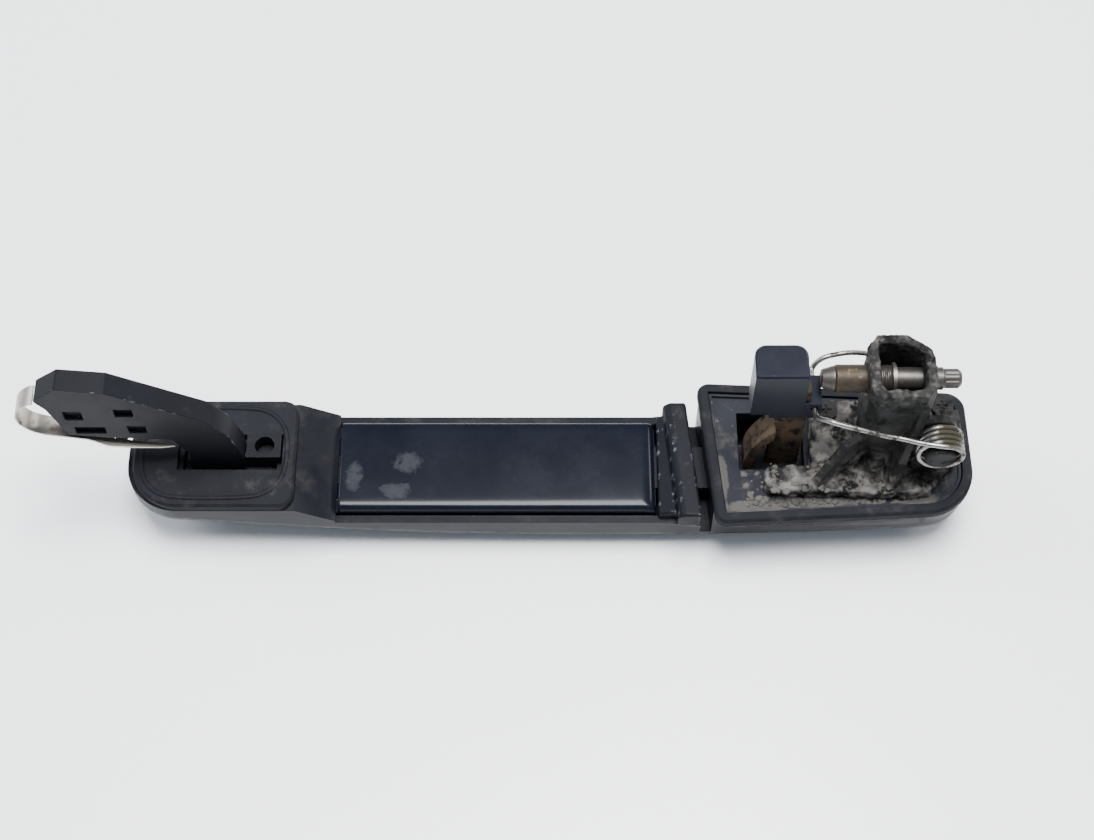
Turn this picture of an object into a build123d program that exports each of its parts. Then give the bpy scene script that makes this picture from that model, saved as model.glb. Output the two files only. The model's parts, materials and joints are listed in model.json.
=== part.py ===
from build123d import *
import os
from math import radians, tan

# Outside handle of a car door: a fixed moulded grip with a pull flap let into its back.
# It lies on its outer face. X runs along the handle towards the lock, Y runs across it and
# Z points into the door. Z = 0 is the door's skin, which both foot gaskets press against,
# and X = Y = 0 is the middle of the rear foot. All sizes are in millimetres.

os.makedirs("parts", exist_ok=True)

# ---- fits
slip = 0.15            # gap round a piece dropped into a recess
running = 0.05         # radial gap of a pin, bush or thread that turns
seat_gap = 0.03        # gap under a piece that another body rests on
flap_side_gap = 0.4    # between the flap and the shell's walls
lever_gap = 0.5        # between the lever's sides and the shell
knuckle_gap = 0.4      # between the flap's knuckles and the pivot lugs
pin_end_gap = 0.8      # the pivot pin stops this far inside the shell's walls

# ---- grip shell
shell_front = -180.5   # front end of the shell
shell_rear = 33.5      # rear end of the shell under the rear foot
shell_half = 15.5      # half width of the grip
shell_wall = 2.1
crown = 7.0            # how far the outer face curves up towards its edges
crown_half = shell_half + 8.5    # half width over which that crown is measured
edge_round = 5.5
shell_end_round = 12.0
grip_step = 1.2        # the flared end springs from this far inside the grip's sides
gasket_thick = 2.5
rim_z = -gasket_thick  # top of the shell under the gaskets
grip_rim_z = -9.0      # top of the shell's side walls along the flap
shoulder_front = -137.4
shoulder_rear = -127.6
bow = [(-182, -11.0), (-152, -14.6), (-111, -19.2), (-68, -21.0), (-12, -19.6), (36, -14.5)]

# ---- front foot
front_left = -179.0
front_right = -137.6
front_half = shell_half - 0.1
front_end_round = 12.5
front_corner_round = 4.0
ledge_z = rim_z - 3.5  # recess floor that both foot plates stand on
ledge_width = 3.4
front_slot = (-167.5, -141.0, -5.0, 5.2)   # opening in the front gasket: x low, high, y low, high

# ---- rear foot
rear_corners = [
    (-35.2, shell_half + 5.4, 3.0), (33.8, shell_half + 2.3, 5.0),
    (34.2, -shell_half - 1.1, 13.0), (-31.4, -shell_half - 4.5, 3.0),
]
rear_foot_depth = 10.5
rear_foot_draw = 5.0   # how far the foot's sides draw in over that depth
rear_rim = 2.7         # width of the rubber rim
plate_rim = 0.9        # width of the rear plate's raised edge
plate_top_z = -0.8
plate_sink = 0.9       # the plate's floor lies this far below its edge
opening = (-25.0, -8.4, -4.0, 12.5)        # lever opening: x low, high, y low, high

# ---- hook arm and its leaf clip
arm_half = 3.0
arm_root_front = -164.0
arm_root_rear = -150.5
arm_well_y = -4.2      # near side of the well that the arm stands in
arm_well_gap = 2.4
arm_ledge = 2.0        # the arm's flange runs this far past its root
pocket_depth = 1.2
flange_half = 10.5
flange_past_block = 6.0
flange_thick = 1.5
clip_half = 2.7
clip_tail = (-3.9, -1.5)   # near and far sides of the clip's narrow tail
clip_thick = 0.5
block = (-150.2, -141.4, -1.9, 5.0)        # square peg block: x low, high, y low, high
block_top = 0.9
peg_hole_r = 2.5
peg_hole_depth = 4.5

# ---- pivot, flap and lever
pivot_x = -127.0
pivot_z = -11.3
pivot_r = 1.2
pivot_half = shell_half - shell_wall - pin_end_gap
bush_wall = 0.6
knuckle_r = pivot_r + running + bush_wall + 0.85
knuckle_in = 4.2
knuckle_out = 8.6
lug_reach = 3.4        # half length of the lugs along the grip
lug_rise = 2.3         # the lugs end this far above the pin's axis
flap_top = grip_rim_z + 3.0
flap_left = -127.1
flap_right = -46.0
flap_half = shell_half - shell_wall - flap_side_gap
flap_skin = 1.8
flap_depth = 3.4
flap_round = 2.6
flap_end_wall = 4.0
web_reach = 9.0        # length of the ribs that carry the knuckles
lever_half = 6.0
lever_thick = 1.8
lever_front = -78.0
lever_rear = -9.5
lever_path_floor = -17.6         # floor of the lever's way through the rear foot
lever_path_top = -6.9
lever_path_rear = -30.0
stroke_deg = 3.5       # pull of the flap
rivet_r = 1.6
rivet_head = 1.2       # how far a rivet's head stands out all round
rivet_head_thick = 1.0
stem_width = 8.0
stem_y = (1.0, 5.0)
stem_top = 28.0

# ---- bridge across the end of the flap, parallel to the rear foot's slanting front edge
bridge_width = 6.0
bridge_top = -2.9
bridge_slope = 1.6
apron_gap = 0.5        # between the flap's end and the bridge's apron
apron_low = 2.2        # height of the apron at the flap
apron_high = 4.4       # and where it meets the bridge
bridge_half = shell_half + 1.1
trench_width = 3.0     # gap between the bridge and the rear foot
trench_bottom = -14.0
grip_end = -44.4       # end of the hollow under the flap
flare_start = -60.0    # where the grip starts to widen towards the bridge
flare_depth = 5.5

# ---- pusher head
head_x = (-23.8, -10.8)
head_y = (0.0, 9.6)
head_z = (18.9, 36.5)
ear_x = -6.6
ear_z = (19.6, 24.0)
head_round = 3.0
head_step = 1.2        # the ear and the collar stop this far short of the head's back
hook_hole = (-8.3, 21.8)   # x and z of the spring's eye in the head

# ---- bracket casting
base_top = 2.2
tower = [
    (3.8, -2.8), (3.8, 9.8), (6.2, 12.6), (13.6, 12.9),
    (19.6, 8.6), (19.8, -1.8), (17.0, -5.0), (6.4, -5.3),
]
tower_wall = 2.4
tower_foot = 15.0
tower_floor = 17.5
tower_top = 36.0
boss_centre = (10.6, 2.6)
boss_r = 6.8
screw_at = [(-2.6, 10.4), (27.2, 11.6)]
web_thick = 2.2
wing = (24.4, 30.0, -1.4, 7.4)   # x low, high, y low, high
wing_top = 9.5
gusset_thick = 2.4

# ---- foot screws
front_posts = [(-156.0, -8.2), (-156.0, 8.2)]
post_r = 3.4
pilot_r = 1.3
pilot_end = ledge_z - 3.6
screw_pass_r = 1.7     # plain hole for a foot screw
screw_head_r = 2.9
head_recess_r = 3.2
head_recess = 1.2
front_head_thick = 1.1
rear_head_thick = 1.6

# ---- fixing screw, along X
spindle_y = 5.0
spindle_z = 28.0
nose_tip = -7.2
nose_rear = -3.8
body_r = 3.45
body_rear = 10.0
shaft_r = 2.8
shaft_rear = 22.6
drive_r = shaft_r - 0.4
drive_rear = 27.1
journal_r = 1.5
ring_thick = 0.9
ring_r = body_r + 0.45
drive_recess_r = 1.5
drive_recess_depth = 2.0
nose_taper = 18        # degrees
nose_step = 0.15       # the nose is this much smaller than the body

# ---- return spring
wire_r = 0.65
coil_x = 22.3
coil_z = 17.5
coil_r = 5.35
coil_turns = 4.5
coil_pitch = 2 * wire_r + 0.06
hook_hole_r = wire_r + 0.3
pin_r = coil_r - wire_r - 0.8
pin_shank_r = 2.4
lug_r = 4.6
lug_hole_r = wire_r + 0.35
lug_y = (-4.0, -1.4)
coil_rear = lug_y[0] - wire_r - 0.43
coil_front = coil_rear - coil_turns * coil_pitch
cross_x = 19.4         # where the wire crosses through the lug to the back


def outline(corners, z):
    """A closed outline on level z. Each corner is x, y and the radius that rounds it."""
    with BuildSketch(Plane.XY.offset(z)) as sketch:
        with BuildLine():
            Polyline([(x, y) for x, y, _ in corners], close=True)
        make_face()
        for x, y, radius in corners:
            fillet(sketch.vertices().sort_by_distance((x, y, 0))[0], radius)
    return sketch.sketch


def inset_outline(corners, inset, z):
    """The same outline drawn in by inset."""
    with BuildSketch(Plane.XY.offset(z)) as sketch:
        add(outline(corners, 0))
        offset(amount=-inset, kind=Kind.INTERSECTION)
    return sketch.sketch


def foot_edge_x(y):
    """X of the rear foot's slanting front edge at y."""
    (x_far, y_far, _), (x_near, y_near, _) = rear_corners[0], rear_corners[3]
    return x_near + (x_far - x_near) * (y - y_near) / (y_far - y_near)


def edge_band(low, high, half, z):
    """A band on level z between two lines parallel to the rear foot's front edge."""
    with BuildSketch(Plane.XY.offset(z)) as sketch:
        with BuildLine():
            Polyline([(foot_edge_x(half) + low, half), (foot_edge_x(half) + high, half),
                      (foot_edge_x(-half) + high, -half), (foot_edge_x(-half) + low, -half)], close=True)
        make_face()
    return sketch.sketch


def block_between(x, y, z, mode=Mode.ADD):
    """A box between two values on each axis."""
    with BuildSketch(Plane.XY.offset(z[0])) as sketch:
        with Locations(((x[0] + x[1]) / 2, (y[0] + y[1]) / 2)):
            Rectangle(x[1] - x[0], y[1] - y[0])
    extrude(sketch.sketch, amount=z[1] - z[0], mode=mode)


def side_plate(points, y_low, y_high, mode=Mode.ADD):
    """A plate drawn in the X-Z plane, between two values of Y."""
    with BuildSketch(Plane.XZ.offset(-y_high)) as sketch:
        with BuildLine():
            Polyline(points, close=True)
        make_face()
    extrude(sketch.sketch, amount=y_high - y_low, mode=mode)


def disc(x, y, radius, z):
    """A round face on level z."""
    with BuildSketch(Plane.XY.offset(z)) as sketch:
        with Locations((x, y)):
            Circle(radius)
    return sketch.sketch


def cylinder_y(x, z, radius, y_low, y_high, mode=Mode.ADD):
    """A round bar along Y."""
    with BuildSketch(Plane.XZ.offset(-y_high)) as sketch:
        with Locations((x, z)):
            Circle(radius)
    extrude(sketch.sketch, amount=y_high - y_low, mode=mode)


def cylinder_z(x, y, radius, z_low, z_high, mode=Mode.ADD):
    """A round bar along Z."""
    extrude(disc(x, y, radius, z_low), amount=z_high - z_low, mode=mode)


def cylinder_x(radius, x_low, x_high, mode=Mode.ADD):
    """A round bar on the fixing screw's axis."""
    with BuildSketch(Plane.YZ.offset(x_low)) as sketch:
        with Locations((spindle_y, spindle_z)):
            Circle(radius)
    extrude(sketch.sketch, amount=x_high - x_low, mode=mode)


def finish(part, name):
    """Label a piece and write it."""
    part.label = name
    export_step(part, f"parts/{name}.step")


# ---------------------------------------------------------------- outer shell
front_corners = [
    (front_left, -front_half, front_end_round),
    (front_left, front_half, front_end_round),
    (front_right, front_half, front_corner_round),
    (front_right, -front_half, front_corner_round),
]
shell_corners = [
    (shell_front, -shell_half, front_end_round + 1),
    (shell_front, shell_half, front_end_round + 1),
    (shell_rear, shell_half, shell_end_round),
    (shell_rear, -shell_half, shell_end_round),
]


def shell_form(inset):
    """The shell's bowed and crowned outer form, drawn in by inset."""
    with BuildPart() as form:
        for x, z in bow:
            with BuildSketch(Plane.YZ.offset(x)):
                with BuildLine():
                    side = z + crown + inset
                    ThreePointArc((-crown_half, side), (0, z + inset), (crown_half, side))
                    Polyline((crown_half, side), (crown_half, 5), (-crown_half, 5), (-crown_half, side))
                make_face()
        loft()
        extrude(inset_outline(shell_corners, inset, -30), amount=30 + rim_z, mode=Mode.INTERSECT)
        lowest = form.faces().sort_by(Axis.Z)[0]
        fillet(lowest.edges(), edge_round - inset)
    return form.part


shell_solid = shell_form(0)
shell_hollow = shell_form(shell_wall)


def hollow_between(x_low, x_high, z_high):
    """The part of the shell's hollow between two values of X, up to z_high."""
    with BuildPart() as hollow:
        add(shell_hollow)
        block_between((x_low, x_high), (-crown_half, crown_half), (-30, z_high), Mode.INTERSECT)
    return hollow.part


def flare_outline(half, z):
    """The grip's widening end on level z, as wide as half where it meets the bridge."""
    rear = -trench_width / 2
    narrow = shell_half - grip_step
    middle = (half + narrow) / 2
    with BuildSketch(Plane.XY.offset(z)) as sketch:
        with BuildLine():
            Polyline([(flare_start, narrow), (grip_end - 3, middle),
                      (foot_edge_x(half) + rear, half), (foot_edge_x(-half) + rear, -half),
                      (grip_end - 1, -middle), (flare_start, -narrow)], close=True)
        make_face()
    return sketch.sketch


grip_hollow = hollow_between(shoulder_rear, grip_end, rim_z)
pivot_hollow = hollow_between(shoulder_rear - 4.0, shoulder_rear, pivot_z + knuckle_r + 0.3)
rear_hollow = hollow_between(-31.0, shell_rear - shell_wall, ledge_z)
front_hollow = hollow_between(front_left + ledge_width + 1, front_right - ledge_width, ledge_z)

with BuildPart() as shell_posts:
    # Posts that take the screws of both feet.
    for x, y in screw_at + front_posts:
        cylinder_z(x, y, post_r, -25, ledge_z)
    # Lugs that hold the pivot pin.
    for y in ((-pivot_half, -knuckle_out - knuckle_gap), (knuckle_out + knuckle_gap, pivot_half)):
        block_between((pivot_x - lug_reach, pivot_x + lug_reach), y, (-25, pivot_z + lug_rise))
    add(shell_solid, mode=Mode.INTERSECT)

with BuildPart() as outer_shell:
    add(shell_solid)
    # The rear foot flares out from the grip to the gasket.
    loft([outline(rear_corners, rim_z).face(),
          inset_outline(rear_corners, rear_foot_draw, rim_z - rear_foot_depth).face()])
    # The side walls drop between the shoulder and the rear foot, and flare towards the bridge.
    side_plate(
        [(shoulder_front, rim_z), (shoulder_rear, grip_rim_z + 1), (shoulder_rear, grip_rim_z),
         (grip_end, grip_rim_z), (grip_end, 1), (shoulder_front, 1)],
        -crown_half, crown_half, Mode.SUBTRACT)
    extrude(edge_band(-15, 0, crown_half, grip_rim_z), amount=10, mode=Mode.SUBTRACT)
    loft([flare_outline(bridge_half, grip_rim_z).face(),
          flare_outline(shell_half - grip_step, grip_rim_z - flare_depth).face()])
    extrude(edge_band(-trench_width, 0, crown_half, trench_bottom), amount=15, mode=Mode.SUBTRACT)
    add(grip_hollow, mode=Mode.SUBTRACT)
    add(pivot_hollow, mode=Mode.SUBTRACT)
    add(rear_hollow, mode=Mode.SUBTRACT)
    add(front_hollow, mode=Mode.SUBTRACT)
    # Recesses for the foot plates.
    extrude(inset_outline(front_corners, shell_wall, ledge_z), amount=rim_z - ledge_z, mode=Mode.SUBTRACT)
    extrude(inset_outline(rear_corners, rear_rim, ledge_z), amount=rim_z - ledge_z, mode=Mode.SUBTRACT)
    # The lever's way through the bridge wall and the rear foot.
    block_between((grip_end - 1, lever_path_rear), (-lever_half - lever_gap, lever_half + lever_gap),
                  (lever_path_floor, lever_path_top), Mode.SUBTRACT)
    add(shell_posts.part)
    for x, y in screw_at + front_posts:
        cylinder_z(x, y, pilot_r, pilot_end, ledge_z, Mode.SUBTRACT)
    cylinder_y(pivot_x, pivot_z, pivot_r, -pivot_half, pivot_half, Mode.SUBTRACT)
finish(outer_shell.part, "outer_shell")

# ---------------------------------------------------------------- gaskets
with BuildPart() as front_gasket:
    extrude(outline(front_corners, rim_z), amount=gasket_thick)
    chamfer(front_gasket.faces().sort_by(Axis.Z)[-1].edges(), 0.6)
    block_between(front_slot[:2], front_slot[2:], (rim_z - 1, 1), Mode.SUBTRACT)
finish(front_gasket.part, "front_gasket")

with BuildPart() as rear_gasket:
    extrude(outline(rear_corners, rim_z), amount=gasket_thick)
    chamfer(rear_gasket.faces().sort_by(Axis.Z)[-1].edges(), 0.7)
    extrude(inset_outline(rear_corners, rear_rim, rim_z - 1), amount=gasket_thick + 2, mode=Mode.SUBTRACT)
finish(rear_gasket.part, "rear_gasket")

# ---------------------------------------------------------------- front foot plate
with BuildPart() as front_plate:
    extrude(inset_outline(front_corners, shell_wall + slip, ledge_z), amount=rim_z - ledge_z)
    block_between((arm_root_front - arm_ledge - slip, block[0] + flange_past_block + slip),
                  (-flange_half - slip, flange_half + slip),
                  (ledge_z - 1, ledge_z + flange_thick + slip), Mode.SUBTRACT)
    block_between(block[:2], block[2:], (rim_z, block_top))
    # The well in which the arm's root stands.
    block_between((arm_root_front - arm_well_gap, arm_root_rear + slip), (arm_well_y, arm_half + slip),
                  (ledge_z - 1, rim_z + 1), Mode.SUBTRACT)
    block_between((arm_root_rear + slip, block[1] - 1.2), (arm_well_y, block[2]), (ledge_z + 1, rim_z + 1),
                  Mode.SUBTRACT)
    cylinder_z((block[0] + block[1]) / 2 + 0.2, (block[2] + block[3]) / 2, peg_hole_r,
               block_top - peg_hole_depth, block_top, Mode.SUBTRACT)
    for x, y in front_posts:
        cylinder_z(x, y, screw_pass_r, ledge_z, rim_z, Mode.SUBTRACT)
        cylinder_z(x, y, head_recess_r, rim_z - head_recess, rim_z, Mode.SUBTRACT)
finish(front_plate.part, "front_plate")

# ---------------------------------------------------------------- hook arm
arm_profile = [
    (arm_root_rear, ledge_z), (arm_root_rear, 4.5), (-152.8, 13.5), (-157.6, 20.6), (-168.5, 27.2),
    (-180.0, 34.2), (-191.5, 35.8), (-197.8, 30.5), (-195.4, 26.5), (-192.0, 14.3), (-182.0, 12.8),
    (-167.0, 11.8), (arm_root_front, 5.0), (arm_root_front, ledge_z),
]
# Pockets moulded into the arm's near side: x low, x high, z low, z high.
arm_pockets = [
    (-191.5, -187.0, 21.5, 25.5), (-190.0, -182.5, 15.0, 18.0),
    (-179.0, -174.5, 23.0, 26.5), (-177.0, -172.5, 15.0, 18.5),
]
with BuildPart() as hook_arm:
    side_plate(arm_profile, -arm_half, arm_half)
    top_edges = hook_arm.edges().filter_by(Axis.Y).group_by(Axis.Z)[-3:]
    fillet([edge for group in top_edges for edge in group], 1.0)
    for x_low, x_high, z_low, z_high in arm_pockets:
        block_between((x_low, x_high), (-arm_half - 1, -arm_half + pocket_depth),
                      (z_low, z_high), Mode.SUBTRACT)
    block_between((arm_root_front - arm_ledge, block[0] + flange_past_block), (-flange_half, flange_half),
                  (ledge_z, ledge_z + flange_thick))
    for x, y in front_posts:
        cylinder_z(x, y, screw_pass_r, ledge_z - 1, ledge_z + flange_thick + 1, Mode.SUBTRACT)
finish(hook_arm.part, "hook_arm")

# ---------------------------------------------------------------- leaf clip on the arm
with BuildPart() as hook_clip:
    with BuildSketch(Plane.XZ.offset(-clip_half)):
        with BuildLine() as clip_line:
            Spline([(-198.2, 28.6), (-201.6, 26.4), (-203.6, 21.6), (-201.6, 16.2), (-192.5, 12.4),
                    (-179.0, 9.2), (-166.6, 8.0)])
        trace(clip_line.line, line_width=clip_thick)
    extrude(amount=clip_half - clip_tail[0])
    with BuildSketch(Plane.XY):
        with BuildLine():
            Polyline([(-210, -clip_half), (-188, -clip_half), (-183, clip_tail[0]),
                      (-170, clip_tail[0] + 0.6), (-166, -clip_half), (-170, clip_tail[1] - 0.3),
                      (-178.5, clip_tail[1]), (-178.5, -0.4), (-181.5, -0.4), (-181.5, clip_tail[1]),
                      (-188, clip_half), (-210, clip_half)], close=True)
        make_face()
    extrude(amount=60, both=True, mode=Mode.INTERSECT)
finish(hook_clip.part, "hook_clip")

# ---------------------------------------------------------------- foot screws
def pan_screws(places, seat_z, head_r, head_thick, shank_r, tip_z):
    """Pan-head screws standing down along Z, each with a cross recess."""
    with BuildPart() as screws:
        for x, y in places:
            cylinder_z(x, y, shank_r, tip_z, seat_z + 0.2)
            cylinder_z(x, y, head_r, seat_z, seat_z + head_thick)
            for length, width in ((head_r, 0.6), (0.6, head_r)):
                block_between((x - length / 2, x + length / 2), (y - width / 2, y + width / 2),
                              (seat_z + head_thick - 0.5, seat_z + head_thick + 1), Mode.SUBTRACT)
    return screws.part


screw_tip = pilot_end + 0.2
front_seat_z = rim_z - head_recess
front_screws = pan_screws(front_posts, front_seat_z, screw_head_r, front_head_thick, pilot_r, screw_tip)
finish(front_screws, "front_screws")
bracket_screws = pan_screws(screw_at, base_top, screw_head_r, rear_head_thick, pilot_r, screw_tip)
finish(bracket_screws, "bracket_screws")

# ---------------------------------------------------------------- rear foot plate
with BuildPart() as rear_plate:
    extrude(inset_outline(rear_corners, rear_rim + slip, ledge_z), amount=plate_top_z - ledge_z)
    # The rim stands a little above a sunk floor.
    sunk_floor = inset_outline(rear_corners, rear_rim + plate_rim, plate_top_z - plate_sink)
    extrude(sunk_floor, amount=2, mode=Mode.SUBTRACT)
    block_between(opening[:2], opening[2:], (ledge_z - 1, 1), Mode.SUBTRACT)
    for x, y in screw_at:
        cylinder_z(x, y, screw_pass_r, ledge_z - 1, 1, Mode.SUBTRACT)
finish(rear_plate.part, "rear_plate")

# ---------------------------------------------------------------- bracket casting
base_z = plate_top_z - plate_sink
base_corners = [
    (-18.8, -11.6, 1.5), (6.0, -12.8, 2.0), (14.5, -12.8, 1.5), (22.0, -11.9, 2.0), (29.6, -4.0, 3.0),
    (29.7, 12.0, 3.0), (24.0, 14.2, 3.0), (-6.0, 14.2, 2.0), (-7.4, -4.6, 1.0), (-18.8, -5.2, 1.5),
]


def tower_outline(inset, z):
    """The open tower's uneven eight-sided outline, drawn in by inset."""
    with BuildSketch(Plane.XY.offset(z)) as sketch:
        with BuildLine():
            Polyline(tower, close=True)
        make_face()
        if inset:
            offset(amount=-inset, kind=Kind.INTERSECTION)
    return sketch.sketch


with BuildPart() as rear_bracket:
    extrude(outline(base_corners, base_z), amount=base_top - base_z)
    # The round boss widens into the tower.
    cylinder_z(*boss_centre, boss_r, base_top, tower_foot - 5)
    loft([disc(*boss_centre, boss_r, tower_foot - 5).face(), tower_outline(0, tower_foot).face()])
    extrude(tower_outline(0, tower_foot), amount=tower_top - tower_foot)
    extrude(tower_outline(tower_wall, tower_floor), amount=tower_top - tower_floor, mode=Mode.SUBTRACT)
    # The web that slants from the tower's corner to the foot.
    for z, y_low, y_high, x_mid in ((base_top - 0.5, -12.6, -3.0, 12.0), (30.0, -5.9, -3.0, 17.2)):
        with BuildSketch(Plane.XY.offset(z)):
            with Locations((x_mid, (y_low + y_high) / 2)):
                Rectangle(web_thick, y_high - y_low)
    loft()
    # The pointed gusset in front of the boss.
    with BuildSketch(Plane(origin=(5.5, -2.0, base_top), x_dir=(-13, -9, 0), z_dir=(9, -13, 0))):
        with BuildLine():
            Polyline([(0, -0.5), (0, -12.0), (7.0, -12.0), (16.0, -0.5)], close=True)
        make_face()
    extrude(amount=gusset_thick / 2, both=True)
    # The rough wing behind the spring, and the lug that carries its pin.
    block_between(wing[:2], wing[2:], (base_top - 1, wing_top))
    block_between((cross_x - 1.9, coil_x + lug_r), lug_y, (base_top - 1, coil_z))
    cylinder_y(coil_x, coil_z, lug_r, *lug_y)
    cylinder_y(coil_x, coil_z, pin_shank_r, lug_y[0] - 1, lug_y[1] + 1, Mode.SUBTRACT)
    cylinder_y(cross_x, coil_z - coil_r, lug_hole_r, lug_y[0] - 1, lug_y[1] + 1, Mode.SUBTRACT)
    # Bores for the fixing screw.
    cylinder_x(body_r + running, 0, 12, Mode.SUBTRACT)
    cylinder_x(shaft_r + running, 12, 24, Mode.SUBTRACT)
    for x, y in screw_at:
        cylinder_z(x, y, screw_pass_r, base_z - 1, base_top + 1, Mode.SUBTRACT)
        cylinder_z(x, y, screw_head_r + 0.2, base_top, base_top + 4, Mode.SUBTRACT)
finish(rear_bracket.part, "rear_bracket")

# ---------------------------------------------------------------- fixing screw
with BuildPart() as screw_nose:
    with BuildSketch(Plane.YZ.offset(nose_rear)):
        with Locations((spindle_y, spindle_z)):
            Circle(body_r - nose_step)
    extrude(amount=nose_tip - nose_rear, taper=nose_taper)
    cylinder_x(journal_r + running, nose_tip + 1.2, nose_rear, Mode.SUBTRACT)
finish(screw_nose.part, "screw_nose")

with BuildPart() as fixing_screw:
    cylinder_x(journal_r, nose_tip + 1.3, nose_rear + 0.2)
    cylinder_x(body_r, nose_rear + seat_gap, body_rear)
    cylinder_x(shaft_r, body_rear, shaft_rear)
    cylinder_x(drive_r, shaft_rear, drive_rear)
    chamfer(fixing_screw.faces().sort_by(Axis.X)[-1].edges(), 0.8)
    with BuildSketch(Plane.YZ.offset(drive_rear - drive_recess_depth)):
        with Locations((spindle_y, spindle_z)):
            RegularPolygon(drive_recess_r, 6)
    extrude(amount=drive_recess_depth + 1, mode=Mode.SUBTRACT)
finish(fixing_screw.part, "fixing_screw")

with BuildPart() as screw_ring:
    cylinder_x(ring_r, body_rear + seat_gap, body_rear + seat_gap + ring_thick)
    cylinder_x(shaft_r, body_rear - 1, body_rear + 3, Mode.SUBTRACT)
finish(screw_ring.part, "screw_ring")

# ---------------------------------------------------------------- return spring and its pin
with BuildPart() as spring_pin:
    cylinder_y(coil_x, coil_z, pin_r, coil_front - 0.9, lug_y[0])
    cylinder_y(coil_x, coil_z, pin_shank_r, *lug_y)
    chamfer(spring_pin.faces().sort_by(Axis.Y)[0].edges(), 0.5)
finish(spring_pin.part, "spring_pin")

coil_top = (coil_x, coil_front, coil_z + coil_r)
front_arm = [coil_top, (16.5, -9.2, coil_z + coil_r), (12.0, -7.7, 21.6), (4.4, -7.2, 23.6),
             (-4.4, -5.6, 24.8), (hook_hole[0], -2.6, hook_hole[1]), (hook_hole[0], 1.6, hook_hole[1])]
coil_bottom = (coil_x, coil_rear, coil_z - coil_r)
rear_arm = [coil_bottom, (cross_x, coil_rear + 0.4, coil_z - coil_r), (cross_x, 14.6, coil_z - coil_r),
            (12.0, 15.0, 20.5), (3.0, 14.8, 24.6), (-4.6, 13.4, 24.4),
            (hook_hole[0], 11.8, hook_hole[1]), (hook_hole[0], 7.6, hook_hole[1])]


def wire(points):
    """Round wire through points, its corners rounded by balls."""
    for start, end in zip(points, points[1:]):
        direction = Vector(*end) - Vector(*start)
        with BuildSketch(Plane(origin=start, z_dir=direction)) as section:
            Circle(wire_r)
        extrude(section.sketch, amount=direction.length)
    for point in points[:-1]:
        with Locations(point):
            Sphere(wire_r)


with BuildPart() as return_spring:
    # The coil starts at its top, running away from the lever, and ends at its bottom.
    with BuildLine() as coil_line:
        Helix(coil_pitch, coil_turns * coil_pitch, coil_r,
              center=(coil_x, coil_front, coil_z), direction=(0, 1, 0))
    with BuildSketch(Plane(origin=coil_line.line @ 0, z_dir=coil_line.line % 0)) as coil_section:
        Circle(wire_r)
    sweep(coil_section.sketch, path=coil_line.line, is_frenet=True)
    wire(front_arm)
    wire(rear_arm)
finish(return_spring.part, "return_spring")

# ---------------------------------------------------------------- flap
with BuildPart() as trigger_flap:
    block_between((flap_left, flap_right), (-flap_half, flap_half), (flap_top - flap_depth, flap_top))
    long_edges = trigger_flap.edges().filter_by(Axis.X).group_by(Axis.Z)[-1]
    fillet(long_edges, flap_round)
    right_edge = trigger_flap.edges().group_by(Axis.X)[-1].group_by(Axis.Z)[-1]
    fillet(right_edge, flap_round - 0.2)
    block_between((flap_left + flap_skin, flap_right - flap_skin),
                  (-flap_half + flap_skin, flap_half - flap_skin),
                  (flap_top - flap_depth - 1, flap_top - flap_skin), Mode.SUBTRACT)
    # A way for the lever through the end wall.
    block_between((flap_right - flap_end_wall, flap_right + 1), (-lever_half - 0.2, lever_half + 0.2),
                  (flap_top - flap_depth - 1, flap_top - flap_skin), Mode.SUBTRACT)
    block_between((flap_left, flap_left + 4.2), (-flap_half, flap_half),
                  (flap_top - flap_depth - 1, flap_top - flap_skin - 0.6), Mode.SUBTRACT)
    for y_low, y_high in ((-knuckle_out, -knuckle_in), (knuckle_in, knuckle_out)):
        cylinder_y(pivot_x, pivot_z, knuckle_r, y_low, y_high)
        side_plate([(pivot_x, pivot_z), (pivot_x + knuckle_r, pivot_z),
                    (pivot_x + web_reach, flap_top - flap_skin),
                    (pivot_x, flap_top - flap_skin)], y_low, y_high)
    cylinder_y(pivot_x, pivot_z, pivot_r + running + bush_wall, -knuckle_out, knuckle_out, Mode.SUBTRACT)
finish(trigger_flap.part, "trigger_flap")

# ---------------------------------------------------------------- pivot pin and bushes
with BuildPart() as pivot_pin:
    cylinder_y(pivot_x, pivot_z, pivot_r, -pivot_half, pivot_half)
finish(pivot_pin.part, "pivot_pin")

with BuildPart() as pivot_bushes:
    for y_low, y_high in ((-knuckle_out, -knuckle_in), (knuckle_in, knuckle_out)):
        cylinder_y(pivot_x, pivot_z, pivot_r + running + bush_wall, y_low, y_high)
    cylinder_y(pivot_x, pivot_z, pivot_r + running, -knuckle_out, knuckle_out, Mode.SUBTRACT)
finish(pivot_bushes.part, "pivot_bushes")

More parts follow.
